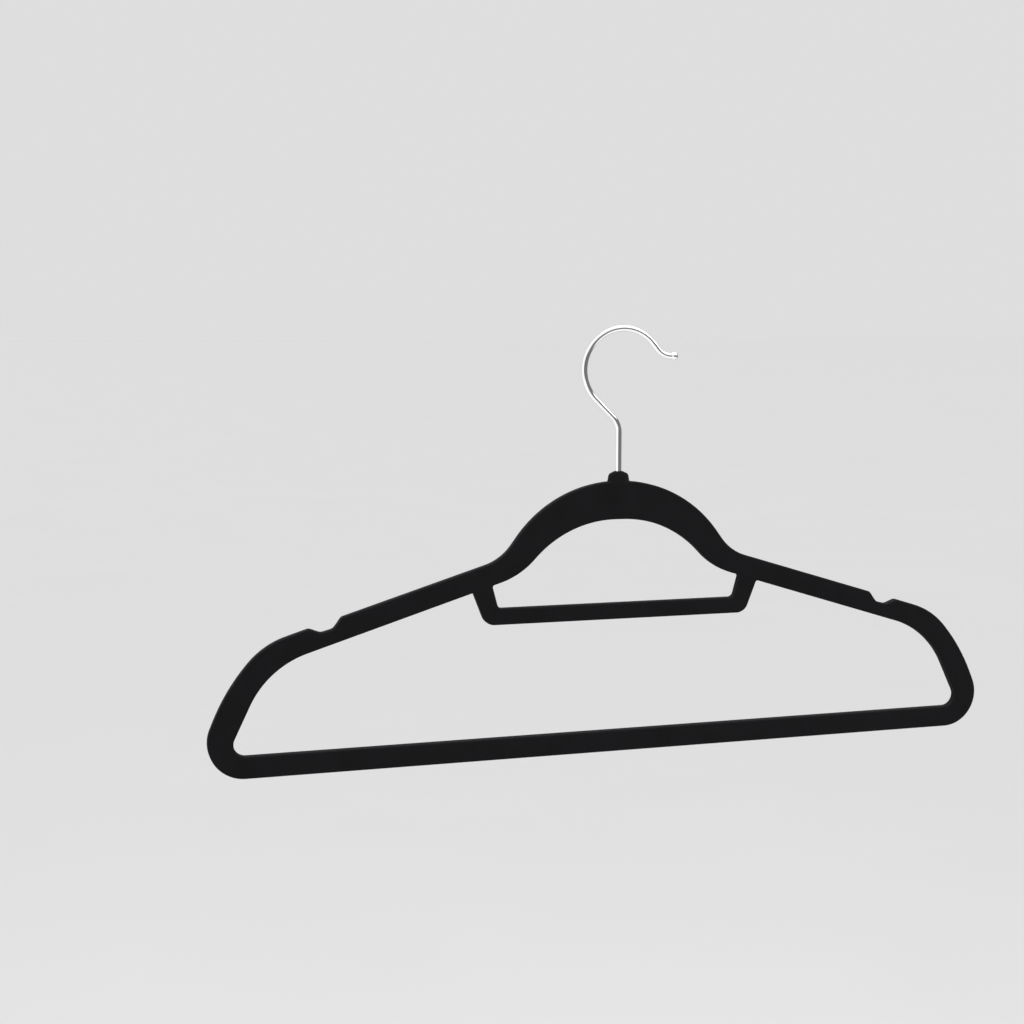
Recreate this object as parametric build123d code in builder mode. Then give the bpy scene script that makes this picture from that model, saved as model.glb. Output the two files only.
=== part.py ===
from build123d import *
import os
from math import cos, radians, sin, sqrt

# Flocked clothes hanger with a swivel hook, in millimetres.
#
# The origin is where the clothes rail bears: the inside top of the hook, on the stem's axis.
# X runs along the shoulders (the hook opens towards +X), -Y is the front, Z is up.
# The front view is drawn from the top of the neck's collar, which lies seat_height below the
# origin: x to the right, y up.

# ---- Driving dimensions -----------------------------------------------------------------------

# The body: two moulded halves inside a coat of flock.
body_depth = 155.0          # collar top to the lower edge of the trouser bar
thickness = 5.0             # over the flock
flock = 0.4                 # depth of the pile
rim = 1.1                   # rounding of the edges, over the flock
trouser_bar = 11.9          # height of the bottom bar

# The hook, bent from one length of round wire.
wire_radius = 1.6
stem_straight = 22.1        # straight stem above the collar
lean = 45.0                 # how far the wire leans back before the loop, degrees
lean_radius = 12.0
lean_straight = 13.9
loop_radius = 22.4
loop_turn = 185.0           # degrees of the round loop
tip_straight = 4.8
tip_radius = 9.5
tip_turn = 50.0
tip_end = 1.8
ball_radius = 2.2

# The neck, which swells around the stem's bearing.
neck_levels = (4.0, 12.0, 20.0)             # below the collar's top
neck_half_widths = (6.2, 7.6, 9.0)
neck_half_depths = (4.0, 3.7, 2.45)
collar_half_width = 6.1
collar_half_depth = 3.6
collar_height = 3.6
collar_taper = 9.0                          # degrees
collar_rim = 0.7
lip_base_radius = 3.3                       # pile that stands up round the stem
lip_top_radius = 2.4
lip_height = 1.1

# The swivel, from the top down.
running_clearance = 0.05
pile_clearance = 0.35
bush_top = 1.5
bush_length = 10.0
bush_radius = 2.4
flange_radius = 2.8
flange_thickness = 0.8
washer_radius = 2.65
washer_thickness = 0.5
clip_radius = 2.55
clip_thickness = 0.6
clip_gap = 1.6
groove_radius = 1.2
axial_play = 0.05
stem_tail = 1.6                             # stem left below the clip
pocket_radius = 2.9
pocket_floor = 1.2                          # room below the stem's end

# Pegs on the rear half that enter the front half.
peg_radius = 1.2
peg_height = 1.2
peg_clearance = 0.05

# ---- Front view: corners of the right half as (x, y, rounding) ----------------------------------

outline_corners = (
    (235.0, -body_depth, 19.5),         # lower corner
    (215.3, -108.6, 107.0),             # side
    (195.6, -85.1, 44.0),               # shoulder's end
    (171.3, -77.5, 3.2),                # strap notch: outer lip
    (165.0, -79.9, 4.0),                # strap notch: floor
    (158.4, -78.2, 4.5),                # strap notch: foot of the inner wall
    (154.1, -72.2, 2.6),                # strap notch: inner corner
    (66.7, -45.2, 28.0),                # hollow between the neck and the shoulder
    (36.4, -4.3, 71.0),                 # neck
)
outline_top = -4.3

garment_window_corners = (
    (75.6, -80.6, 7.0),                 # lower corner of the tie bar
    (82.6, -62.5, 1.3),                 # tie bar meets the shoulder
    (193.3, -97.0, 50.0),               # shoulder's end
    (215.4, trouser_bar - body_depth, 6.5),
)
tie_bar_bottom = -80.6

tie_window_corners = (
    (68.7, -71.6, 3.0),                 # lower corner
    (72.0, -59.1, 1.2),                 # upper corner
    (56.15, -54.2, 44.0),               # hollow of the arch
    (29.2, -25.3, 62.0),                # top of the arch
)
tie_window_top = -25.3
tie_window_bottom = -71.6

peg_spots = (
    (50.0, -149.0), (150.0, -149.0), (211.0, -118.0), (185.0, -88.5),
    (140.0, -74.0), (100.0, -61.7), (40.0, -75.9), (30.0, -21.0),
)

# ---- Worked out from the driving dimensions -------------------------------------------------------

bush_bottom = bush_top + bush_length
washer_top = bush_bottom + flange_thickness + axial_play
clip_top = washer_top + washer_thickness + axial_play
stem_end = clip_top + clip_thickness + stem_tail
pocket_bottom = stem_end + pocket_floor
stem_hole = wire_radius + running_clearance

# The wire leans back by the same arc on any stem, and the loop's centre follows from it.
lean_cos = cos(radians(lean))
lean_sin = sin(radians(lean))
loop_x = loop_radius * lean_cos - lean_straight * lean_sin - lean_radius * (1 - lean_cos)
loop_y = stem_straight + (lean_radius + loop_radius) * lean_sin + lean_straight * lean_cos

# The rail bears on the loop's inside, straight above the stem.
seat_height = loop_y + sqrt((loop_radius - wire_radius) ** 2 - loop_x ** 2)
front_view = Plane(origin=(0, 0, -seat_height), x_dir=(1, 0, 0), z_dir=(0, -1, 0))

# ---- Helpers --------------------------------------------------------------------------------------


def below_collar(depth):
    """A horizontal plane at a depth below the collar's top."""
    return Plane.XY.offset(-seat_height - depth)


def rounded_shape(first, corners, last):
    """Close half an outline that starts and ends on the centre line with its mirror image."""
    points = [first] + [(x, y) for x, y, radius in corners] + [last]
    with BuildSketch() as shape:
        with BuildLine():
            FilletPolyline(*points, radius=[radius for x, y, radius in corners])
            mirror(about=Plane.YZ)
        make_face()
    return shape.sketch


def hanger_face(inset):
    """The front view of the body with both windows, inset all round."""
    with BuildSketch() as face:
        add(rounded_shape((0, -body_depth), outline_corners, (0, outline_top)))
        add(rounded_shape((0, tie_bar_bottom), garment_window_corners,
                          (0, trouser_bar - body_depth)), mode=Mode.SUBTRACT)
        add(rounded_shape((0, tie_window_bottom), tie_window_corners,
                          (0, tie_window_top)), mode=Mode.SUBTRACT)
        if inset:
            offset(amount=-inset, mode=Mode.REPLACE)
    return face.sketch


def hanger_blank(inset):
    """The whole body as one solid, drawn smaller by inset: over the flock at 0, the core at flock."""
    with BuildPart() as blank:
        with BuildSketch(front_view):
            add(hanger_face(inset))
        extrude(amount=thickness / 2 - inset, both=True)
        flat_faces = blank.faces().filter_by(Axis.Y).sort_by(Axis.Y)
        fillet(flat_faces[0].edges() + flat_faces[-1].edges(), rim - inset)
        for level, width, depth in zip(neck_levels, neck_half_widths, neck_half_depths):
            with BuildSketch(below_collar(level)):
                Ellipse(width - inset, depth - inset)
        loft()
        with BuildSketch(below_collar(neck_levels[0])):
            Ellipse(collar_half_width - inset, collar_half_depth - inset)
        extrude(amount=collar_height - inset, taper=collar_taper)
        top_face = blank.faces().sort_by(Axis.Z)[-1]
        fillet(top_face.edges(), collar_rim)
    return blank.part


def cylinder_below(radius, top, bottom):
    """A cylinder on the stem's axis between two depths below the collar's top."""
    with BuildPart() as barrel:
        with BuildSketch(below_collar(bottom)):
            Circle(radius)
        extrude(amount=bottom - top)
    return barrel.part


def pegs(radius, height):
    """Locating pegs on the joint face, pointing to the front."""
    with BuildPart() as group:
        with BuildSketch(front_view):
            with Locations(*[(side * x, y) for x, y in peg_spots for side in (-1, 1)]):
                Circle(radius)
        extrude(amount=height)
    return group.part


def keep_front():
    """Cut the part in hand at the joint face and keep the front side."""
    split(bisect_by=Plane.XZ, keep=Keep.TOP)


def keep_rear():
    split(bisect_by=Plane.XZ, keep=Keep.BOTTOM)


# ---- Body: core halves and flock --------------------------------------------------------------------

core_blank = hanger_blank(flock)
bearing_space = (
    cylinder_below(bush_radius, -lip_height, bush_bottom)
    + cylinder_below(flange_radius, bush_bottom, bush_bottom + flange_thickness)
    + cylinder_below(pocket_radius, bush_bottom + flange_thickness, pocket_bottom)
)

with BuildPart() as core_front:
    add(core_blank)
    keep_front()
    add(bearing_space, mode=Mode.SUBTRACT)
    add(pegs(peg_radius + peg_clearance, peg_height + peg_clearance), mode=Mode.SUBTRACT)

with BuildPart() as core_rear:
    add(core_blank)
    keep_rear()
    add(bearing_space, mode=Mode.SUBTRACT)
    add(pegs(peg_radius, peg_height))

with BuildPart() as coat:
    add(hanger_blank(0))
    with BuildSketch(below_collar(collar_rim)):
        Circle(lip_base_radius)
    with BuildSketch(below_collar(-lip_height)):
        Circle(lip_top_radius)
    loft()
    add(core_blank, mode=Mode.SUBTRACT)
    add(cylinder_below(wire_radius + pile_clearance, -2 * lip_height, bush_top), mode=Mode.SUBTRACT)

with BuildPart() as flock_front:
    add(coat.part)
    keep_front()

with BuildPart() as flock_rear:
    add(coat.part)
    keep_rear()

# ---- Swivel hook ------------------------------------------------------------------------------------

with BuildPart() as hook_wire:
    with BuildLine(front_view):
        stem = Line((0, -stem_end), (0, stem_straight))
        lean_arc = JernArc(stem @ 1, stem % 1, lean_radius, lean)
        slope = Line(lean_arc @ 1, lean_arc @ 1 + (lean_arc % 1) * lean_straight)
        loop = JernArc(slope @ 1, slope % 1, loop_radius, -loop_turn)
        tail = Line(loop @ 1, loop @ 1 + (loop % 1) * tip_straight)
        curl = JernArc(tail @ 1, tail % 1, tip_radius, tip_turn)
        end = Line(curl @ 1, curl @ 1 + (curl % 1) * tip_end)
    with BuildSketch(below_collar(stem_end)):
        Circle(wire_radius)
    sweep()
    with Locations(end @ 1):
        Sphere(ball_radius)
    with BuildSketch(below_collar(clip_top + clip_thickness)):
        Circle(wire_radius)
        Circle(groove_radius, mode=Mode.SUBTRACT)
    extrude(amount=clip_thickness, mode=Mode.SUBTRACT)

with BuildPart() as swivel_bush:
    with BuildSketch(below_collar(bush_bottom + flange_thickness)):
        Circle(flange_radius)
        Circle(stem_hole, mode=Mode.SUBTRACT)
    extrude(amount=flange_thickness)
    with BuildSketch(below_collar(bush_bottom)):
        Circle(bush_radius)
        Circle(stem_hole, mode=Mode.SUBTRACT)
    extrude(amount=bush_length)

with BuildPart() as thrust_washer:
    with BuildSketch(below_collar(washer_top + washer_thickness)):
        Circle(washer_radius)
        Circle(stem_hole, mode=Mode.SUBTRACT)
    extrude(amount=washer_thickness)

with BuildPart() as stem_clip:
    with BuildSketch(below_collar(clip_top + clip_thickness)):
        Circle(clip_radius)
        Circle(groove_radius, mode=Mode.SUBTRACT)
        with Locations((0, clip_radius / 2)):
            Rectangle(clip_gap, clip_radius + groove_radius, mode=Mode.SUBTRACT)
    extrude(amount=clip_thickness)

# ---- Files ------------------------------------------------------------------------------------------

os.makedirs("parts", exist_ok=True)
pieces = {
    "core_front": core_front,
    "core_rear": core_rear,
    "flock_front": flock_front,
    "flock_rear": flock_rear,
    "hook_wire": hook_wire,
    "swivel_bush": swivel_bush,
    "thrust_washer": thrust_washer,
    "stem_clip": stem_clip,
}
for label, piece in pieces.items():
    piece.part.label = label
    export_step(piece.part, f"parts/{label}.step")

print("rail seat above the collar", round(seat_height, 3))
print("loop centre", round(loop_x, 3), round(loop_y, 3))
for label, piece in pieces.items():
    box = piece.part.bounding_box()
    print(label, len(piece.part.solids()), round(piece.part.volume, 1), box.min, box.max)
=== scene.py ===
# %% [markdown]
# # A flocked clothes hanger with a swivel hook
#
# The hanger is a thin moulded frame in a coat of black velvet pile, and a chromed wire hook that
# turns in its neck. The measured parts come in first, because every piece that follows is placed
# from them and moves with them.

# %% Load the measured parts
from math import acos, atan2, ceil, cos, pi, radians, sin, tan

import bmesh
import bpy
from mathutils import Matrix, Vector


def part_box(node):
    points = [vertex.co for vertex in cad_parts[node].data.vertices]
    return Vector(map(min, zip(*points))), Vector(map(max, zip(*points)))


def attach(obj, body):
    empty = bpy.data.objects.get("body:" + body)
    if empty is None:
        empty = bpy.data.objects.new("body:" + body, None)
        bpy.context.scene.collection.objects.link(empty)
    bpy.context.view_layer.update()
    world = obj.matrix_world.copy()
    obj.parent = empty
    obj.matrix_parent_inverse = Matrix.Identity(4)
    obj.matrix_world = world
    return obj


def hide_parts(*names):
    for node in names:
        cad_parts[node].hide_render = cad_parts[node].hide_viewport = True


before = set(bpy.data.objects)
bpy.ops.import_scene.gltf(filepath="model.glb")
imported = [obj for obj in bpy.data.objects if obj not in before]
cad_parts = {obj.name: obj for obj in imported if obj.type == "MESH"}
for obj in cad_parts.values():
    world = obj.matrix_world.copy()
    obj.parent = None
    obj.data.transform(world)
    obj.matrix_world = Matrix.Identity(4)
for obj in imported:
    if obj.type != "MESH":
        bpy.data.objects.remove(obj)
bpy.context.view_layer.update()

scene = bpy.context.scene
print("measured parts:", sorted(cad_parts))

# %% [markdown]
# ## Where to stand
#
# A camera is an object like any other: it has a place, and it looks along its own -Z. Here it
# stands about 0.86 m away, a little to the left and as high as the top of the hook, so that the
# left shoulder comes nearer and the bars run gently uphill to the right. `to_track_quat` turns a
# direction into the rotation that looks along it. It is made first because everything after it
# is judged through it.

# %% Set up the camera
camera_place = Vector((-0.29992, -0.82256, -0.00179))
camera_aim = Vector((-0.06062, 0.0, -0.09650))
camera_lens = 56.32

camera_data = bpy.data.cameras.new("camera")
camera_data.lens = camera_lens
camera_data.sensor_width = 36.0
camera_data.clip_start = 0.05
camera_data.clip_end = 2000.0
camera = bpy.data.objects.new("camera", camera_data)
camera.location = camera_place
camera.rotation_euler = (camera_aim - camera_place).to_track_quat("-Z", "Y").to_euler()
scene.collection.objects.link(camera)
scene.camera = camera
scene.view_settings.view_transform = "Standard"
print("camera to hanger:", round((camera_aim - camera_place).length, 3), "m")

# %% [markdown]
# ## A workbench in millimetres
#
# The hanger is drawn as a maker would draw it: in millimetres, from the top of the collar, with
# x to the right, y to the back and z up. One matrix carries a finished mesh from that bench into
# the frame, which is in metres and has its origin where the clothes rail bears. The collar's
# height in the frame is read from the measured pile, whose highest point is the lip of pile
# that stands up round the wire.

# %% Tie the bench to the frame
MM = 0.001
lip_height = 1.1
collar_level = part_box("flock_front")[1].z - lip_height * MM
bench_to_frame = Matrix.Translation((0.0, 0.0, collar_level)) @ Matrix.Scale(MM, 4)
print("collar top at z =", round(collar_level, 5), "m")

# %% [markdown]
# Every piece ends in the same way: its mesh is carried into the frame, its faces are shaded
# smooth except across real corners, and it is hung on the body that it moves with. It also takes
# its finish, and the measured part that it stands for is hidden. That is one helper.

# %% Helper: hang a finished piece in the frame
corner_angle = radians(38.0)


def hang_piece(work, name, finish, body, stands_for):
    """Turn a bmesh on the bench into a named piece in the frame."""
    bmesh.ops.transform(work, matrix=bench_to_frame, verts=work.verts)
    for face in work.faces:
        face.smooth = True
    work.edges.index_update()
    open_edges = [edge.index for edge in work.edges if edge.is_boundary]
    mesh = bpy.data.meshes.new(name)
    work.to_mesh(mesh)
    work.free()
    mesh.set_sharp_from_angle(angle=corner_angle)
    sharp = mesh.attributes.get("sharp_edge")
    if sharp is None:
        sharp = mesh.attributes.new("sharp_edge", "BOOLEAN", "EDGE")
    for index in open_edges:
        sharp.data[index].value = True
    mesh.materials.append(finish)
    piece = bpy.data.objects.new(name, mesh)
    scene.collection.objects.link(piece)
    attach(piece, body)
    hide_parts(stands_for)
    print(name, "has", len(mesh.vertices), "vertices and", len(mesh.polygons), "faces")
    return piece


# %% [markdown]
# ## Small tools for the finishes
#
# A finish is a network of shader nodes. Writing one in code is mostly making nodes and joining
# sockets, so two short helpers keep each finish readable: one adds a node and sets its values,
# the other starts a material and hands back its Principled shader.

# %% Helpers: shader nodes
def add_node(tree, kind, values=None, **settings):
    """Add one node; settings are its own options and values are its input sockets."""
    node = tree.nodes.new(kind)
    for option, choice in settings.items():
        setattr(node, option, choice)
    for socket, value in (values or {}).items():
        if isinstance(value, bpy.types.NodeSocket):
            tree.links.new(value, node.inputs[socket])
        else:
            node.inputs[socket].default_value = value
    return node


def start_finish(name, **constants):
    """Start a material and set the constant sockets of its Principled shader."""
    finish = bpy.data.materials.new(name)
    finish.use_nodes = True
    tree = finish.node_tree
    tree.nodes.clear()
    shader = add_node(tree, "ShaderNodeBsdfPrincipled")
    output = add_node(tree, "ShaderNodeOutputMaterial")
    tree.links.new(shader.outputs["BSDF"], output.inputs["Surface"])
    for socket, value in constants.items():
        shader.inputs[socket.replace("_", " ")].default_value = value
    return finish, tree, shader


def start_group(name, inputs, outputs):
    """Start a node group with named inputs (kind, default) and named outputs (kind)."""
    group = bpy.data.node_groups.new(name, "ShaderNodeTree")
    for label, (kind, default) in inputs.items():
        socket = group.interface.new_socket(label, in_out="INPUT", socket_type=kind)
        if default is not None:
            socket.default_value = default
    for label, kind in outputs.items():
        group.interface.new_socket(label, in_out="OUTPUT", socket_type=kind)
    entry = add_node(group, "NodeGroupInput")
    leave = add_node(group, "NodeGroupOutput")
    return group, entry.outputs, leave


FLOAT = "NodeSocketFloat"
VECTOR = "NodeSocketVector"
print("shader helpers ready")

# %% [markdown]
# ## Grain and patches
#
# Velvet pile, moulded plastic and a painted floor all have a fine grain with slower, softer
# patches over it. They differ only in size and strength, so the effect is made once as a node
# group. It gives out the grain, the patches, and a height for a Bump node. The sizes are given
# as repeats per metre, because it reads Object coordinates, which are metres in this frame.

# %% Node group: grain and patches
grain_group, grain_in, grain_out = start_group(
    "grain_and_patches",
    {
        "Vector": (VECTOR, None),
        "Grain Per Metre": (FLOAT, 2500.0),
        "Patches Per Metre": (FLOAT, 60.0),
        "Patch Contrast": (FLOAT, 1.0),
    },
    {"Grain": FLOAT, "Patches": FLOAT, "Height": FLOAT},
)
fine_grain = add_node(
    grain_group, "ShaderNodeTexNoise",
    {"Vector": grain_in["Vector"], "Scale": grain_in["Grain Per Metre"], "Detail": 3.0,
     "Roughness": 0.6},
)
slow_patches = add_node(
    grain_group, "ShaderNodeTexNoise",
    {"Vector": grain_in["Vector"], "Scale": grain_in["Patches Per Metre"], "Detail": 2.0,
     "Roughness": 0.45, "Distortion": 0.4},
)
patch_from_middle = add_node(
    grain_group, "ShaderNodeMath", {0: slow_patches.outputs["Fac"], 1: -0.5}, operation="ADD"
)
patch_stretched = add_node(
    grain_group, "ShaderNodeMath",
    {0: patch_from_middle.outputs[0], 1: grain_in["Patch Contrast"], 2: 0.5},
    operation="MULTIPLY_ADD", use_clamp=True,
)
grain_height = add_node(
    grain_group, "ShaderNodeMath",
    {0: slow_patches.outputs["Fac"], 1: 0.25, 2: fine_grain.outputs["Fac"]},
    operation="MULTIPLY_ADD",
)
grain_group.links.new(fine_grain.outputs["Fac"], grain_out.inputs["Grain"])
grain_group.links.new(patch_stretched.outputs[0], grain_out.inputs["Patches"])
grain_group.links.new(grain_height.outputs[0], grain_out.inputs["Height"])
print("made", grain_group.name)

# %% [markdown]
# ## Black velvet pile
#
# The coat is short nylon pile, shot upright into glue. Seen straight on it swallows nearly all
# light, and seen along the surface the fibre sides catch it, so its edges read as thin pale
# lines. That is what the Sheen of the Principled shader is for. The base colour is very dark and
# the plain specular is almost nothing, because pile has no smooth surface to mirror anything.
# Where the coat goes round an edge, the fibres splay and show their sides, and the edges catch
# the light as thin pale lines, so an "edge_pile_and_sheen" attribute, set on the mesh later,
# lifts
# the colour there a little: partly pile that splays, partly a painted sheen highlight.

# %% Finish: black velvet
velvet, tree, shader = start_finish(
    "black_velvet",
    Sheen_Weight=0.13,
    Sheen_Roughness=0.22,
    Sheen_Tint=(0.93, 0.94, 1.0, 1.0),
    Specular_IOR_Level=0.03,
)
place = add_node(tree, "ShaderNodeTexCoord")
pile = add_node(tree, "ShaderNodeGroup", node_tree=grain_group)
tree.links.new(place.outputs["Object"], pile.inputs["Vector"])
pile.inputs["Grain Per Metre"].default_value = 4800.0
pile.inputs["Patches Per Metre"].default_value = 75.0
pile.inputs["Patch Contrast"].default_value = 2.2
tips = add_node(
    tree, "ShaderNodeMapRange",
    {"Value": pile.outputs["Grain"], "From Min": 0.34, "From Max": 0.68},
    interpolation_type="SMOOTHSTEP",
)
fibre_depth = add_node(
    tree, "ShaderNodeMix",
    {"Factor": tips.outputs["Result"], "A": (0.0026, 0.0026, 0.0029, 1.0),
     "B": (0.0208, 0.0207, 0.0222, 1.0)},
    data_type="RGBA",
)
brushed = add_node(
    tree, "ShaderNodeMath", {0: pile.outputs["Patches"], 1: 0.45}, operation="MULTIPLY"
)
brushed_colour = add_node(
    tree, "ShaderNodeMix",
    {"Factor": brushed.outputs[0], "A": fibre_depth.outputs["Result"],
     "B": (0.0150, 0.0150, 0.0170, 1.0)},
    data_type="RGBA",
)
# Painted sheen highlight: the edge attribute lifts the colour on the edges to a paler grey,
# partly for fibres that splay and partly for the pale lines that edges catch in the light.
pile_and_sheen_reader = add_node(tree, "ShaderNodeAttribute", attribute_name="edge_pile_and_sheen")
pile_and_sheen_amount = add_node(
    tree, "ShaderNodeMath", {0: pile_and_sheen_reader.outputs["Fac"], 1: tips.outputs["Result"]},
    operation="MULTIPLY", use_clamp=True,
)
coat_colour = add_node(
    tree, "ShaderNodeMix",
    {"Factor": pile_and_sheen_amount.outputs[0], "A": brushed_colour.outputs["Result"],
     "B": (0.023, 0.0235, 0.026, 1.0)},
    data_type="RGBA",
)
pile_roughness = add_node(
    tree, "ShaderNodeMapRange",
    {"Value": pile.outputs["Grain"], "To Min": 0.85, "To Max": 1.0},
)
pile_bump = add_node(
    tree, "ShaderNodeBump",
    {"Height": pile.outputs["Height"], "Strength": 0.8, "Distance": 0.00025},
)
tree.links.new(coat_colour.outputs["Result"], shader.inputs["Base Color"])
tree.links.new(pile_roughness.outputs["Result"], shader.inputs["Roughness"])
tree.links.new(pile_bump.outputs["Normal"], shader.inputs["Normal"])
print("made", velvet.name)

# %% [markdown]
# ## Drawing and turning lines
#
# Wire pulled through a die keeps fine lines along its length, and metal cut in a lathe keeps
# them around its axis. Both are one noise squeezed hard in one direction. The group takes a
# vector whose x runs across the lines and whose y runs along them, and gives out the lines and a
# height. Each metal then feeds it its own vector.

# %% Node group: tool lines
lines_group, lines_in, lines_out = start_group(
    "tool_lines",
    {"Vector": (VECTOR, None), "Across": (FLOAT, 1.0), "Along": (FLOAT, 0.02)},
    {"Lines": FLOAT, "Height": FLOAT},
)
squeeze = add_node(
    lines_group, "ShaderNodeCombineXYZ", {"X": lines_in["Across"], "Y": lines_in["Along"]}
)
squeezed = add_node(
    lines_group, "ShaderNodeVectorMath",
    {0: lines_in["Vector"], 1: squeeze.outputs["Vector"]}, operation="MULTIPLY",
)
line_noise = add_node(
    lines_group, "ShaderNodeTexNoise",
    {"Vector": squeezed.outputs["Vector"], "Scale": 1.0, "Detail": 4.0, "Roughness": 0.65},
)
line_height = add_node(
    lines_group, "ShaderNodeMath", {0: line_noise.outputs["Fac"], 1: 0.6}, operation="POWER"
)
lines_group.links.new(line_noise.outputs["Fac"], lines_out.inputs["Lines"])
lines_group.links.new(line_height.outputs[0], lines_out.inputs["Height"])
print("made", lines_group.name)

# %% [markdown]
# ## Bright chrome on drawn wire
#
# Chrome plating is a near mirror, so it has almost no colour of its own: what shows in it is the
# room. The drawing lines under the plating only break the reflection a little. They follow the
# wire round its bends, so they are read from the wire's UV map, whose u goes round the wire and
# whose v goes along it, both in millimetres.

# %% Finish: chromed wire
chrome, tree, shader = start_finish("bright_chrome", Metallic=1.0)
wrap = add_node(tree, "ShaderNodeUVMap", uv_map="wire")
drawn = add_node(tree, "ShaderNodeGroup", node_tree=lines_group)
tree.links.new(wrap.outputs["UV"], drawn.inputs["Vector"])
drawn.inputs["Across"].default_value = 6.0
drawn.inputs["Along"].default_value = 0.12
chrome_colour = add_node(
    tree, "ShaderNodeMix",
    {"Factor": drawn.outputs["Lines"], "A": (0.80, 0.81, 0.82, 1.0),
     "B": (0.93, 0.935, 0.94, 1.0)},
    data_type="RGBA",
)
chrome_roughness = add_node(
    tree, "ShaderNodeMapRange",
    {"Value": drawn.outputs["Lines"], "To Min": 0.035, "To Max": 0.10},
)
chrome_bump = add_node(
    tree, "ShaderNodeBump",
    {"Height": drawn.outputs["Height"], "Strength": 0.12, "Distance": 0.00002},
)
tree.links.new(chrome_colour.outputs["Result"], shader.inputs["Base Color"])
tree.links.new(chrome_roughness.outputs["Result"], shader.inputs["Roughness"])
tree.links.new(chrome_bump.outputs["Normal"], shader.inputs["Normal"])
print("made", chrome.name)

# %% [markdown]
# ## Turned brass and punched steel
#
# The bush in the neck is turned from brass, and its washer and clip are steel. They share the
# swivel's upright axis, which is also the frame's z axis, so distance from that axis and height
# say which line a point is on. One helper builds both metals from the tool lines group.


# %% Finishes: brass and steel
def turned_metal(name, dark, bright, smoothest, roughest):
    """A metal with fine lines round the swivel's axis."""
    finish, tree, shader = start_finish(name, Metallic=1.0)
    place = add_node(tree, "ShaderNodeTexCoord")
    parts = add_node(tree, "ShaderNodeSeparateXYZ", {"Vector": place.outputs["Object"]})
    flat = add_node(
        tree, "ShaderNodeCombineXYZ", {"X": parts.outputs["X"], "Y": parts.outputs["Y"]}
    )
    radius = add_node(
        tree, "ShaderNodeVectorMath", {0: flat.outputs["Vector"]}, operation="LENGTH"
    )
    profile = add_node(
        tree, "ShaderNodeMath", {0: radius.outputs["Value"], 1: parts.outputs["Z"]},
        operation="ADD",
    )
    lathe = add_node(
        tree, "ShaderNodeCombineXYZ", {"X": profile.outputs[0], "Y": parts.outputs["X"]}
    )
    lines = add_node(tree, "ShaderNodeGroup", node_tree=lines_group)
    tree.links.new(lathe.outputs["Vector"], lines.inputs["Vector"])
    lines.inputs["Across"].default_value = 9000.0
    lines.inputs["Along"].default_value = 150.0
    colour = add_node(
        tree, "ShaderNodeMix", {"Factor": lines.outputs["Lines"], "A": dark, "B": bright},
        data_type="RGBA",
    )
    roughness = add_node(
        tree, "ShaderNodeMapRange",
        {"Value": lines.outputs["Lines"], "To Min": smoothest, "To Max": roughest},
    )
    bump = add_node(
        tree, "ShaderNodeBump",
        {"Height": lines.outputs["Height"], "Strength": 0.3, "Distance": 0.00003},
    )
    tree.links.new(colour.outputs["Result"], shader.inputs["Base Color"])
    tree.links.new(roughness.outputs["Result"], shader.inputs["Roughness"])
    tree.links.new(bump.outputs["Normal"], shader.inputs["Normal"])
    print("made", name)
    return finish


brass = turned_metal(
    "turned_brass", (0.52, 0.36, 0.13, 1.0), (0.86, 0.66, 0.30, 1.0), 0.22, 0.42
)
steel = turned_metal(
    "punched_steel", (0.36, 0.37, 0.38, 1.0), (0.66, 0.67, 0.68, 1.0), 0.25, 0.50
)

# %% [markdown]
# ## Moulded black plastic
#
# Under the velvet are two moulded halves. Their plastic is a dense black with a fine spark
# eroded grain and slow cloudy patches where it cooled unevenly. It uses the same grain group as
# the velvet, with a slightly coarser grain and a much shallower bump.

# %% Finish: moulded plastic
plastic, tree, shader = start_finish("moulded_black_plastic", Specular_IOR_Level=0.45)
place = add_node(tree, "ShaderNodeTexCoord")
grain = add_node(tree, "ShaderNodeGroup", node_tree=grain_group)
tree.links.new(place.outputs["Object"], grain.inputs["Vector"])
grain.inputs["Grain Per Metre"].default_value = 4200.0
grain.inputs["Patches Per Metre"].default_value = 45.0
plastic_colour = add_node(
    tree, "ShaderNodeMix",
    {"Factor": grain.outputs["Patches"], "A": (0.012, 0.012, 0.013, 1.0),
     "B": (0.022, 0.022, 0.023, 1.0)},
    data_type="RGBA",
)
plastic_roughness = add_node(
    tree, "ShaderNodeMapRange",
    {"Value": grain.outputs["Grain"], "To Min": 0.42, "To Max": 0.62},
)
plastic_bump = add_node(
    tree, "ShaderNodeBump",
    {"Height": grain.outputs["Height"], "Strength": 0.25, "Distance": 0.00004},
)
tree.links.new(plastic_colour.outputs["Result"], shader.inputs["Base Color"])
tree.links.new(plastic_roughness.outputs["Result"], shader.inputs["Roughness"])
tree.links.new(plastic_bump.outputs["Normal"], shader.inputs["Normal"])
print("made", plastic.name)

# %% [markdown]
# ## Dressing the measured parts that stay
#
# The moulded halves, the bush, the washer and the clip already have the right shape, so they
# stay as they were measured and only get their finishes, through their objects' material slots.

# %% Give the measured parts their finishes
measured_finishes = {
    "core_front": plastic,
    "core_rear": plastic,
    "swivel_bush": brass,
    "thrust_washer": steel,
    "stem_clip": steel,
}
for node_name, finish in measured_finishes.items():
    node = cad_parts[node_name]
    for material_slot in node.material_slots:
        material_slot.material = finish
    print(node_name, "is finished in", finish.name)

# %% [markdown]
# ## The outline, drawn with a turning pencil
#
# The frame is a flat shape with an outer edge and two windows, each made of straight runs and
# round corners. A corner is given as where its two runs would cross and how round it is. The
# pencil is one vertex: `extrude_vert_indiv` pulls it along a run, and `spin` turns it round the
# corner's centre, so each bend is a true arc. Only the right half is drawn, and `mirror` makes
# the left one, because the hanger is the same on both sides.

# %% Helpers: pencil, corner and outline
widest_step = radians(8.0)
arc_tolerance = 0.012       # how far a straight piece of an arc may leave it


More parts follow.
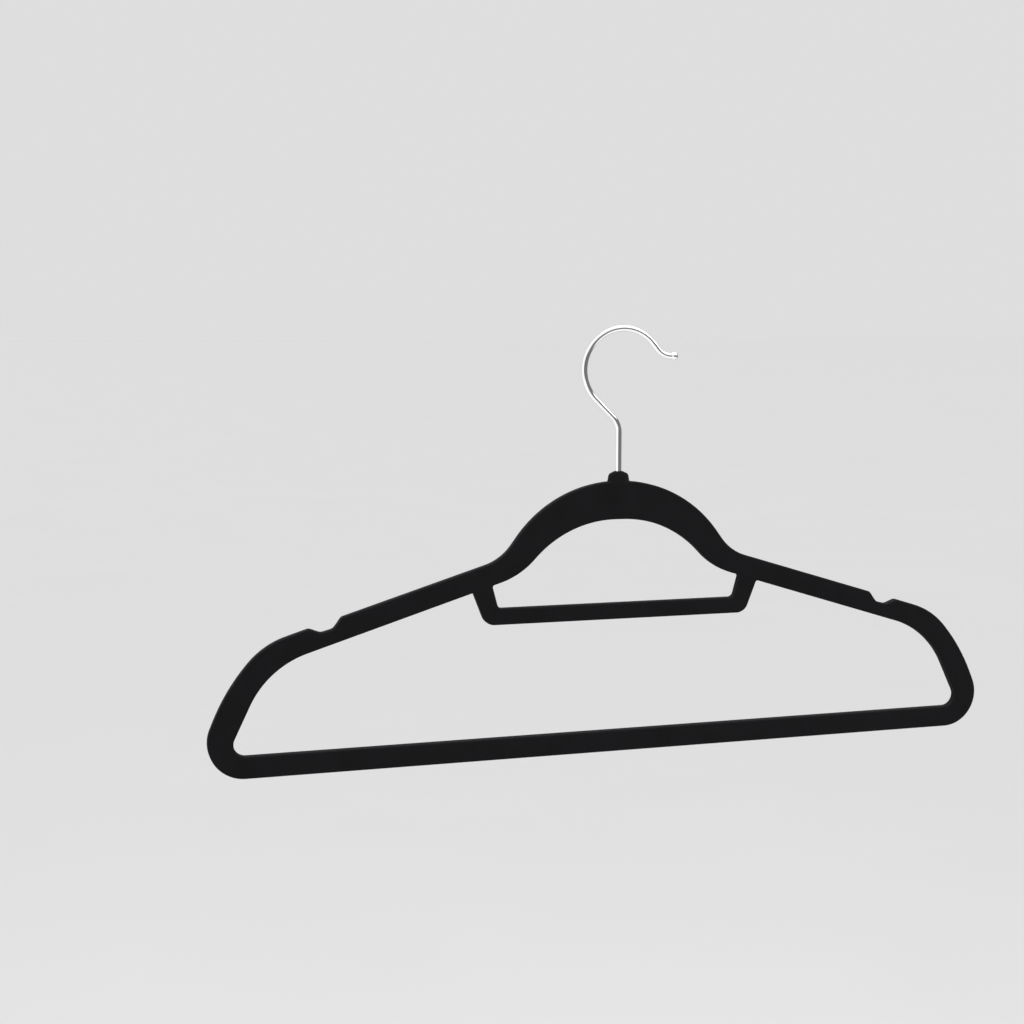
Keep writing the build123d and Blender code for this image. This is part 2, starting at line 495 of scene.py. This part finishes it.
def draw_run(work, pencil, target):
    """Pull the pencil vertex in a straight line to target."""
    pulled = bmesh.ops.extrude_vert_indiv(work, verts=[pencil])["verts"][0]
    bmesh.ops.translate(work, verts=[pulled], vec=target - pulled.co)
    return pulled


def spin_corner(work, pencil, corner, arriving, leaving, radius):
    """Run the pencil up to a corner and spin it round."""
    turn = arriving.angle(leaving)
    reach = radius * tan(turn / 2)
    pencil = draw_run(work, pencil, corner - arriving * reach)
    turns_left = arriving.x * leaving.z > arriving.z * leaving.x
    to_centre = Vector((-arriving.z, 0.0, arriving.x)) * (radius if turns_left else -radius)
    step = min(widest_step, 2 * acos(1 - arc_tolerance / radius))
    spun = bmesh.ops.spin(
        work, geom=[pencil], cent=pencil.co + to_centre,
        axis=(0.0, -1.0 if turns_left else 1.0, 0.0),
        angle=turn, steps=ceil(turn / step),
    )
    return next(part for part in spun["geom_last"] if isinstance(part, bmesh.types.BMVert))


def draw_half_outline(work, first, corners, last):
    """Draw the right half of an outline from the bottom centre line to the top one."""
    points = [first] + [(x, z) for x, z, radius in corners] + [last]
    points = [Vector((x, 0.0, z)) for x, z in points]
    pencil = bmesh.ops.create_vert(work, co=points[0])["vert"][0]
    for before, corner, after, (x, z, radius) in zip(points, points[1:], points[2:], corners):
        arriving = (corner - before).normalized()
        leaving = (after - corner).normalized()
        pencil = spin_corner(work, pencil, corner, arriving, leaving, radius)
    draw_run(work, pencil, points[-1])


print("pencil ready")

# %% [markdown]
# ## Where the corners are
#
# Read from the bottom centre round to the neck: the big rounded lower corner, the raking side,
# the shoulder's end, the strap notch with its lip, floor and inner wall, the long straight
# shoulder, the hollow where it meets the neck, and the neck's wide arch. Inside are the garment
# window, which leaves the trouser bar below it, and the tie window, which leaves the tie bar
# between the two windows.

# %% Corners of the frame
body_depth = 155.0
trouser_bar = 11.9
outline = {
    "first": (0.0, -body_depth),
    "corners": (
        (235.0, -body_depth, 19.5),
        (215.3, -108.6, 107.0),
        (195.6, -85.1, 44.0),
        (171.3, -77.5, 3.2),
        (165.0, -79.9, 4.0),
        (158.4, -78.2, 4.5),
        (154.1, -72.2, 2.6),
        (66.7, -45.2, 28.0),
        (36.4, -4.3, 71.0),
    ),
    "last": (0.0, -4.3),
}
garment_window = {
    "first": (0.0, trouser_bar - body_depth),
    "corners": (
        (215.4, trouser_bar - body_depth, 6.5),
        (193.3, -97.0, 50.0),
        (82.6, -62.5, 1.3),
        (75.6, -80.6, 7.0),
    ),
    "last": (0.0, -80.6),
}
tie_window = {
    "first": (0.0, -71.6),
    "corners": (
        (68.7, -71.6, 3.0),
        (72.0, -59.1, 1.2),
        (56.15, -54.2, 44.0),
        (29.2, -25.3, 62.0),
    ),
    "last": (0.0, -25.3),
}
front_coat = bmesh.new()
for shape in (outline, garment_window, tie_window):
    draw_half_outline(front_coat, **shape)
bmesh.ops.mirror(
    front_coat, geom=front_coat.verts[:] + front_coat.edges[:], matrix=Matrix.Identity(4),
    merge_dist=0.001, axis="X",
)
bmesh.ops.remove_doubles(front_coat, verts=front_coat.verts[:], dist=0.001)
print("outline points:", len(front_coat.verts))

# %% [markdown]
# ## From outline to padded edge
#
# The coat wraps a 5 mm thick frame whose edges are rounded. Half of it is modelled, from the
# middle plane forwards: `extrude_edge_only` makes the straight wall of the edge,
# `triangle_fill` closes the face and leaves the windows open, and then `inset_region` steps the
# face inwards and forwards along a quarter circle, which rounds every edge at once, however the
# outline bends. The two moulded halves meet on the middle plane, and the coat dips a little
# there, so the wall gets two extra cuts and its first vertices sink along their normals.

# %% Wall, face and rounded edge
half_thickness = 2.5
edge_round = 1.1
edge_steps = 6
wall = bmesh.ops.extrude_edge_only(front_coat, edges=front_coat.edges[:])["geom"]
wall_verts = {part for part in wall if isinstance(part, bmesh.types.BMVert)}
bmesh.ops.translate(
    front_coat, verts=list(wall_verts), vec=(0.0, edge_round - half_thickness, 0.0)
)
face_edge = [edge for edge in front_coat.edges if all(v in wall_verts for v in edge.verts)]
filled = bmesh.ops.triangle_fill(front_coat, use_beauty=True, edges=face_edge)["geom"]
flat_face = [part for part in filled if isinstance(part, bmesh.types.BMFace)]
bmesh.ops.recalc_face_normals(front_coat, faces=front_coat.faces[:])
if flat_face[0].normal.y > 0:
    bmesh.ops.reverse_faces(front_coat, faces=front_coat.faces[:])

seam_width = 0.32           # from the middle plane to where the dip begins
seam_depth = 0.14
collar_zone = -12.0         # above this the dip fades out towards the collar
seam_stops = 9.0            # how far from the axis the dip has gone there
seam_fade = 8.0             # over how much further it comes back
face_ring = 0.3             # a flat ring inside the rounding, so that the face shades flat
for depth in (seam_width, seam_width / 3):
    bmesh.ops.bisect_plane(
        front_coat, geom=front_coat.faces[:] + front_coat.edges[:] + front_coat.verts[:],
        dist=0.0005, plane_co=(0.0, -depth, 0.0), plane_no=(0.0, 1.0, 0.0),
    )
front_coat.normal_update()
for vert in front_coat.verts:
    dip = max(1 + vert.co.y / seam_width, 0.0) ** 1.5
    if vert.co.z > collar_zone:
        dip *= min(max((abs(vert.co.x) - seam_stops) / seam_fade, 0.0), 1.0)
    vert.co -= vert.normal * seam_depth * dip


def step_face(work, faces, inwards, forwards):
    """Leave a ring of new faces round the flat face and move it in and to the front."""
    bmesh.ops.inset_region(
        work, faces=faces, thickness=inwards, use_boundary=True, use_even_offset=True
    )
    verts = {vert for face in faces for vert in face.verts}
    bmesh.ops.translate(work, verts=list(verts), vec=(0.0, -forwards, 0.0))


for step in range(edge_steps):
    start, end = (pi / 2 * (step + k) / edge_steps for k in (0, 1))
    step_face(
        front_coat, flat_face,
        inwards=edge_round * (cos(start) - cos(end)),
        forwards=edge_round * (sin(end) - sin(start)),
    )
step_face(front_coat, flat_face, inwards=face_ring, forwards=0.0)
print("coat so far:", len(front_coat.faces), "faces")

# %% [markdown]
# ## The neck swells round the wire
#
# The wire and its bush are thicker than the 5 mm frame, so the neck bulges round them and fades
# out above the tie window. A smooth bulge needs enough vertices to bend, so `bisect_plane` cuts
# a fine grid through the neck only. Then each vertex there moves outwards: most on the axis,
# nothing at the bulge's edge, along a curve that starts and ends level so no crease shows.

# %% Grid the neck and swell it
neck_half_width = 12.6
neck_foot = -24.0
neck_margin = 2.0           # faces this far outside the neck are cut too
grid_step = 0.7
grid_top = -4.4
wall_cuts = (-0.6, -0.9, -1.2)


def cut(work, point, normal, near_neck=True, **clear):
    """Slice through the neck's faces, or through everything."""
    faces = [
        face for face in work.faces
        if not near_neck
        or (abs(face.calc_center_median().x) < neck_half_width + neck_margin
            and face.calc_center_median().z > neck_foot - neck_margin)
    ]
    geom = dict.fromkeys(part for face in faces for part in [face, *face.edges, *face.verts])
    return bmesh.ops.bisect_plane(
        work, geom=list(geom), dist=0.0005, plane_co=point, plane_no=normal, **clear
    )


for x in (-neck_half_width, neck_half_width):
    cut(front_coat, (x, 0.0, 0.0), (1.0, 0.0, 0.0), near_neck=False)
cut(front_coat, (0.0, 0.0, neck_foot), (0.0, 0.0, 1.0), near_neck=False)
columns = round(2 * neck_half_width / grid_step)
for k in range(1, columns):
    x = neck_half_width * (2 * k / columns - 1)
    cut(front_coat, (x, 0.0, 0.0), (1.0, 0.0, 0.0))
level = neck_foot + grid_step
while level < grid_top:
    cut(front_coat, (0.0, 0.0, level), (0.0, 0.0, 1.0))
    level += grid_step
for depth in wall_cuts:
    cut(front_coat, (0.0, depth, 0.0), (0.0, 1.0, 0.0))

swell_top = -4.0
swell_height = 16.5
swell_depth = 1.5
swell_half_width = 8.7      # at the top
swell_widening = 3.3        # how much wider each side gets by the bottom


def swelling(x, z):
    """How much thicker the neck is at a point of the front view, as a factor."""
    down = min(max((swell_top - z) / swell_height, 0.0), 1.0)
    half_width = swell_half_width + swell_widening * down
    across = min(abs(x) / half_width, 1.0)
    return 1 + swell_depth / half_thickness * (1 - down ** 3) ** 2 * (1 - across ** 2) ** 2


collar_front = 6.6          # the face runs straight up into the collar within this half width
rounding_foot = -5.6
for vert in front_coat.verts:
    thick = swelling(vert.co.x, vert.co.z)
    on_rounding = vert.co.y < edge_round - half_thickness - 0.001
    vert.co.y *= thick
    if on_rounding and vert.co.z > rounding_foot and abs(vert.co.x) < collar_front:
        fullness = (1 - (vert.co.x / collar_front) ** 2) ** 2
        vert.co.y += (-half_thickness * thick - vert.co.y) * fullness
print("thickest point of the neck:", round(-min(v.co.y for v in front_coat.verts), 2), "mm")

# %% [markdown]
# ## The collar
#
# On top of the neck sits a small collar, a tapered oval plug that the wire comes out of, with a
# lip of pile standing up round the wire. The neck's top is cut off flat just below its crest,
# and the cut edge is extruded upwards ring by ring. Each ring is an ellipse of its own width,
# depth and height, so a list of rings is the whole shape: a tight foot, the tapered side, the
# round shoulder, the top that domes up to the wire, and the hole that goes down beside it.

# %% Cut the neck's top and raise the collar
cut_level = -4.62
cut(front_coat, (0.0, 0.0, cut_level), (0.0, 0.0, 1.0), clear_outer=True)
open_edge = [
    edge for edge in front_coat.edges
    if edge.is_boundary and all(abs(v.co.z - cut_level) < 0.001 for v in edge.verts)
]
rings = (                   # half width, half depth, height
    (6.80, 3.96, -4.58),
    (6.42, 3.91, -4.46),
    (6.24, 3.82, -4.18),
    (6.12, 3.70, -3.65),
    (5.98, 3.50, -2.70),
    (5.88, 3.35, -2.05),
    (5.78, 3.25, -1.55),
    (5.64, 3.15, -1.08),
    (5.42, 3.05, -0.66),
    (5.10, 2.96, -0.30),
    (4.70, 2.87, -0.02),
    (4.22, 2.78, 0.22),
    (3.70, 2.67, 0.44),
    (3.20, 2.55, 0.66),
    (2.78, 2.43, 0.86),
    (2.46, 2.31, 1.02),
    (2.22, 2.19, 1.10),
    (2.05, 2.05, 1.04),
    (1.97, 1.97, 0.80),
    (1.95, 1.95, 0.0),
    (1.95, 1.95, -1.5),
)
even_after = 5              # rings until the points are evenly spaced


def raise_ring(work, edge_loop, half_width, half_depth, height, evenness):
    """Extrude an open half ring upwards on to an ellipse round the wire."""
    grown = bmesh.ops.extrude_edge_only(work, edges=edge_loop)["geom"]
    verts = [part for part in grown if isinstance(part, bmesh.types.BMVert)]
    wide = max(vert.co.x for vert in verts)
    deep = -min(vert.co.y for vert in verts)
    drawn_angles = {vert: atan2(abs(vert.co.y) / deep, vert.co.x / wide) for vert in verts}
    verts.sort(key=drawn_angles.get)
    for k, vert in enumerate(verts):
        drawn_angle = drawn_angles[vert]
        even_angle = pi * k / (len(verts) - 1)
        angle = drawn_angle + (even_angle - drawn_angle) * evenness
        vert.co = (half_width * cos(angle), -half_depth * sin(angle), height)
    raised = set(verts)
    return [edge for edge in work.edges if all(v in raised for v in edge.verts)]


for k, (half_width, half_depth, height) in enumerate(rings):
    evenness = min((k + 1) / even_after, 1.0)
    open_edge = raise_ring(front_coat, open_edge, half_width, half_depth, height, evenness)
print("collar raised with", len(rings), "rings")

# %% [markdown]
# ## Pile that splays, painted edge sheen, both halves and a real thickness
#
# The edge_pile_and_sheen attribute is 1 where the coat turns round an edge, a quarter on the
# edge's wall and 0 on the flat face. It lifts the colour there, partly for fibres that splay and
# partly as a painted sheen highlight along the edges. It follows from the face normals, so it
# needs no painting by hand. The rear coat is the front one scaled by -1 across the middle plane;
# that turns the faces inside out, so they are reversed. At the end a Solidify modifier gives the
# skin the depth of its pile, inwards.

# %% Finish the two coats
flock = 0.38
front_coat.normal_update()
pile_and_sheen_layer = front_coat.verts.layers.float.new("edge_pile_and_sheen")
# The edge value lifts the pile colour on the edges: partly fibres that splay, partly a painted
# sheen highlight. still_flat is the lean below which it stays 0.
still_flat = 0.12           # a lean that is too slight to splay the pile
for vert in front_coat.verts:
    lean_over = max(1 - abs(vert.normal.y) - still_flat, 0.0) / (1 - still_flat)
    vert[pile_and_sheen_layer] = min(1.0, 4 * lean_over * (1 - lean_over) + 0.25 * lean_over)

rear_coat = front_coat.copy()
bmesh.ops.scale(rear_coat, vec=(1.0, -1.0, 1.0), verts=rear_coat.verts)
bmesh.ops.reverse_faces(rear_coat, faces=rear_coat.faces[:])

for work, name, node_name in (
    (front_coat, "velvet_front", "flock_front"),
    (rear_coat, "velvet_rear", "flock_rear"),
):
    bmesh.ops.remove_doubles(work, verts=work.verts[:], dist=0.0005)
    coat = hang_piece(work, name, velvet, "hanger", node_name)
    skin = coat.modifiers.new("pile_depth", "SOLIDIFY")
    skin.thickness = flock * MM
    skin.offset = -1.0
    skin.use_rim = True

# %% [markdown]
# ## The hook
#
# The hook is one length of 3.2 mm wire. A ring of vertices is laid flat under the neck and
# carried along the wire's path: `extrude_edge_only` for straight runs, and `spin` in small steps
# round each bend's centre. The state of the bend in progress is just the ring, where its centre
# is, which way it is heading, and how much wire has been used, which becomes the UV map.

# %% Helpers: carry and bend the wire
wire_radius = 1.6
wire_sides = 40


class Wire:
    """A round wire in the middle plane, grown from a ring of vertices."""

    def __init__(self, start_height, start_radius):
        self.work = bmesh.new()
        self.used = self.work.verts.layers.float.new("used")
        self.around = self.work.verts.layers.float.new("around")
        self.place = Vector((0.0, 0.0, start_height))
        self.heading = pi / 2
        self.length = 0.0
        self.radius = start_radius
        made = bmesh.ops.create_circle(
            self.work, cap_ends=True, segments=wire_sides, radius=start_radius,
            matrix=Matrix.Translation(self.place),
        )
        self.ring = made["verts"]
        for vert in self.ring:
            vert[self.around] = (atan2(vert.co.y, vert.co.x) / (2 * pi)) % 1.0
        self.rim = list(dict.fromkeys(edge for vert in self.ring for edge in vert.link_edges))

    def direction(self):
        return Vector((cos(self.heading), 0.0, sin(self.heading)))

    def take(self, geom):
        """Make the newly grown ring the one in hand."""
        self.ring = [part for part in geom if isinstance(part, bmesh.types.BMVert)]
        fresh = set(self.ring)
        self.rim = list(dict.fromkeys(
            edge for vert in self.ring for edge in vert.link_edges
            if all(end in fresh for end in edge.verts)
        ))
        for vert in self.ring:
            vert[self.used] = self.length

    def carry(self, distance, radius=None):
        """A straight run, which may also change the wire's radius."""
        radius = radius or self.radius
        self.take(bmesh.ops.extrude_edge_only(self.work, edges=self.rim)["geom"])
        bmesh.ops.translate(self.work, verts=self.ring, vec=self.direction() * distance)
        self.place += self.direction() * distance
        self.length += distance + abs(radius - self.radius)
        for vert in self.ring:
            vert[self.used] = self.length
            vert.co = self.place + (vert.co - self.place) * (radius / self.radius)
        self.radius = radius

    def run(self, distance, parts):
        """A long straight run, divided so that its faces are about as long as a bend's."""
        for part in range(parts):
            self.carry(distance / parts)

    def bend(self, bend_radius, turn, steps):
        """An arc of wire; a positive turn goes to the left as seen from the front."""
        side = 1.0 if turn > 0 else -1.0
        to_centre = Vector((-sin(self.heading), 0.0, cos(self.heading))) * bend_radius * side
        centre = self.place + to_centre
        small = turn / steps
        for step in range(steps):
            self.length += bend_radius * abs(small)
            spun = bmesh.ops.spin(
                self.work, geom=self.rim + self.ring, cent=centre, axis=(0.0, -side, 0.0),
                angle=abs(small), steps=1,
            )
            self.take(spun["geom_last"])
            self.heading += small
        outwards = Vector((sin(self.heading), 0.0, -cos(self.heading))) * side
        self.place = centre + outwards * bend_radius


print("wire bender ready")

# %% [markdown]
# ## Groove, stem and bends
#
# From the bottom up: a small chamfer, the groove that the clip snaps into, the stem, the lean to
# the left, the round loop over the top, and the small curl at its mouth. Then the end is headed
# into a ball: the ring swells and closes again as it is carried along, and the last ring is
# collapsed to one point so the ball has no open pole.

# %% Bend the hook
stem_end = -15.1
clip_foot = -13.5
clip_top = -12.9
stem_top = 22.1
chamfer = 0.25
groove_radius = 1.2
lean_radius = 12.0
lean = radians(45.0)
lean_straight = 13.9
loop_radius = 22.4
loop_turn = radians(185.0)
tip_straight = 4.8
tip_radius = 9.5
tip_turn = radians(50.0)

hook = Wire(stem_end, wire_radius - chamfer)
hook.carry(chamfer, wire_radius)
hook.carry(clip_foot - stem_end - chamfer)
hook.carry(0.0, groove_radius)
hook.carry(clip_top - clip_foot)
hook.carry(0.0, wire_radius)
hook.run(stem_top - clip_top, parts=12)
hook.bend(lean_radius, lean, steps=14)
hook.run(lean_straight, parts=5)
hook.bend(loop_radius, -loop_turn, steps=62)
hook.run(tip_straight, parts=2)
hook.bend(tip_radius, tip_turn, steps=14)
print("hook mouth at x", round(hook.place.x, 2), "z", round(hook.place.z, 2), "mm")
print("wire used so far:", round(hook.length, 1), "mm")

# %% [markdown]
# The ball's surface meets the wire at the angle where a sphere of its radius is as wide as the
# wire. From there to the pole, each ring's place and radius come from that angle.

# %% Head the end into a ball
ball_radius = 2.2
ball_steps = 14
pole_radius = 0.02          # the last ring, before it is merged into one point
to_ball = 1.8
meeting = acos(wire_radius / ball_radius)
ball_start = to_ball - ball_radius * sin(meeting)
hook.carry(ball_start)
travelled = ball_start
for step in range(1, ball_steps + 1):
    latitude = -meeting + (pi / 2 + meeting) * step / ball_steps
    forward = to_ball + ball_radius * sin(latitude)
    hook.carry(forward - travelled, max(ball_radius * cos(latitude), pole_radius))
    travelled = forward
bmesh.ops.pointmerge(hook.work, verts=hook.ring, merge_co=hook.place)
bmesh.ops.recalc_face_normals(hook.work, faces=hook.work.faces[:])

# %% [markdown]
# The UV map is written corner by corner. One face in each ring crosses the line where the
# around value jumps from 1 back to 0, so there the small values get 1 added, and the lines don't
# squeeze into that face.

# %% Unwrap the wire and hang it
wire_map = hook.work.loops.layers.uv.new("wire")
circumference = 2 * pi * wire_radius
for face in hook.work.faces:
    arounds = [vert[hook.around] for vert in face.verts]
    crosses = max(arounds) - min(arounds) > 0.5
    for corner in face.loops:
        around = corner.vert[hook.around]
        if crosses and around < 0.5:
            around += 1.0
        corner[wire_map].uv = (around * circumference, corner.vert[hook.used])
hang_piece(hook.work, "hook", chrome, "hook", "hook_wire")

# %% [markdown]
# ## Floor and room
#
# The hanger hangs high over a pale floor. The room is a world of soft white light, with three
# dimmer parts that the chrome needs to look like chrome: the side where the camera stands,
# which draws the thin dark line down the middle of the wire, a grey flat on the right, which
# tones one side of the upright stem, and the far side, which greys the wire's edges. All three
# are found from the direction alone. The floor is hidden from reflections, so that the wire
# mirrors the room all round.

# %% Stage the floor
floor_height = -1.3
floor_reach = 900.0
floor_sides = 96
floor_work = bmesh.new()
bmesh.ops.create_circle(
    floor_work, cap_ends=True, segments=floor_sides, radius=floor_reach,
    matrix=Matrix.Translation((0.0, 0.0, floor_height)),
)
floor_mesh = bpy.data.meshes.new("floor")
floor_work.to_mesh(floor_mesh)
floor_work.free()
floor = bpy.data.objects.new("floor", floor_mesh)
scene.collection.objects.link(floor)

pale_floor, tree, shader = start_finish("pale_floor", Specular_IOR_Level=0.1)
place = add_node(tree, "ShaderNodeTexCoord")
grain = add_node(tree, "ShaderNodeGroup", node_tree=grain_group)
tree.links.new(place.outputs["Object"], grain.inputs["Vector"])
grain.inputs["Grain Per Metre"].default_value = 400.0
grain.inputs["Patches Per Metre"].default_value = 2.0
floor_colour = add_node(
    tree, "ShaderNodeMix",
    {"Factor": grain.outputs["Patches"], "A": (0.73, 0.73, 0.73, 1.0),
     "B": (0.75, 0.75, 0.75, 1.0)},
    data_type="RGBA",
)
tree.links.new(floor_colour.outputs["Result"], shader.inputs["Base Color"])
shader.inputs["Roughness"].default_value = 0.9
floor_mesh.materials.append(pale_floor)
floor.visible_glossy = False
print("floor at z =", floor_height, "m")

# %% [markdown]
# The room's brightness is worked out from three directions: how far a direction turns towards
# the camera's side, how far to its right, and how far up. `Map Range` turns each into a soft
# mask. Seen straight by the camera the room is one plain pale grey, which Light Path picks out.

# %% Build the room's light
hook_middle = Vector((0.0, 0.0, -0.05))
camera_side = (camera_place - hook_middle).normalized()
right_side = Vector((0.96019, -0.27934, 0.0))
room_white = 1.12
flat_grey = 0.20
camera_dim = 0.06
back_dim = 0.45
backdrop_tone = 0.730

world = bpy.data.worlds.new("studio")
world.use_nodes = True
scene.world = world
tree = world.node_tree
tree.nodes.clear()
direction = add_node(tree, "ShaderNodeTexCoord")


def facing(towards):
    """How far the direction looked in turns towards a given one: 1 is straight at it."""
    return add_node(
        tree, "ShaderNodeVectorMath", {0: direction.outputs["Generated"], 1: tuple(towards)},
        operation="DOT_PRODUCT",
    ).outputs["Value"]


def soft_mask(value, begins, ends):
    """0 before begins, 1 after ends, smooth between."""
    return add_node(
        tree, "ShaderNodeMapRange", {"Value": value, "From Min": begins, "From Max": ends},
        interpolation_type="SMOOTHSTEP",
    ).outputs["Result"]


def shade(amount, under, over):
    """Mix two brightnesses by a mask."""
    return add_node(
        tree, "ShaderNodeMix", {"Factor": amount, "A": under, "B": over}, data_type="FLOAT"
    ).outputs["Result"]


upness = add_node(
    tree, "ShaderNodeMath", {0: facing((0.0, 0.0, 1.0))}, operation="ABSOLUTE"
).outputs[0]
is_right = soft_mask(facing(right_side), 0.02, 0.10)
is_level = soft_mask(upness, 0.46, 0.34)
on_flat = add_node(
    tree, "ShaderNodeMath", {0: is_right, 1: is_level}, operation="MULTIPLY"
).outputs[0]
at_camera = soft_mask(facing(camera_side), 0.955, 0.985)
at_back = soft_mask(facing(-camera_side), 0.45, 0.90)
brightness = shade(at_back, room_white, back_dim)
brightness = shade(on_flat, brightness, flat_grey)
brightness = shade(at_camera, brightness, camera_dim)
light_path = add_node(tree, "ShaderNodeLightPath")
brightness = shade(light_path.outputs["Is Camera Ray"], brightness, backdrop_tone)
room = add_node(tree, "ShaderNodeBackground", {"Strength": brightness})
room.inputs["Color"].default_value = (1.0, 1.0, 1.0, 1.0)
room_output = add_node(tree, "ShaderNodeOutputWorld")
tree.links.new(room.outputs["Background"], room_output.inputs["Surface"])
print("room is lit")

# %% [markdown]
# Two area lamps give the soft room a direction: a wide one above, which makes the upper edges of
# the pile read as pale lines, and a smaller key from the upper right.


# %% Hang the lamps
lamp_aim = Vector((0.0, 0.0, -0.1))


def hang_lamp(name, place, size, watts):
    """A square area lamp that looks at the hanger's neck."""
    data = bpy.data.lights.new(name, "AREA")
    data.shape = "SQUARE"
    data.size = size
    data.energy = watts
    lamp = bpy.data.objects.new(name, data)
    lamp.location = place
    lamp.rotation_euler = (lamp_aim - place).to_track_quat("-Z", "Y").to_euler()
    scene.collection.objects.link(lamp)


hang_lamp("top_lamp", Vector((0.30, 0.25, 0.92)), 1.0, 8.5)
hang_lamp("key_lamp", Vector((1.0, -0.40, 0.75)), 0.7, 5.0)
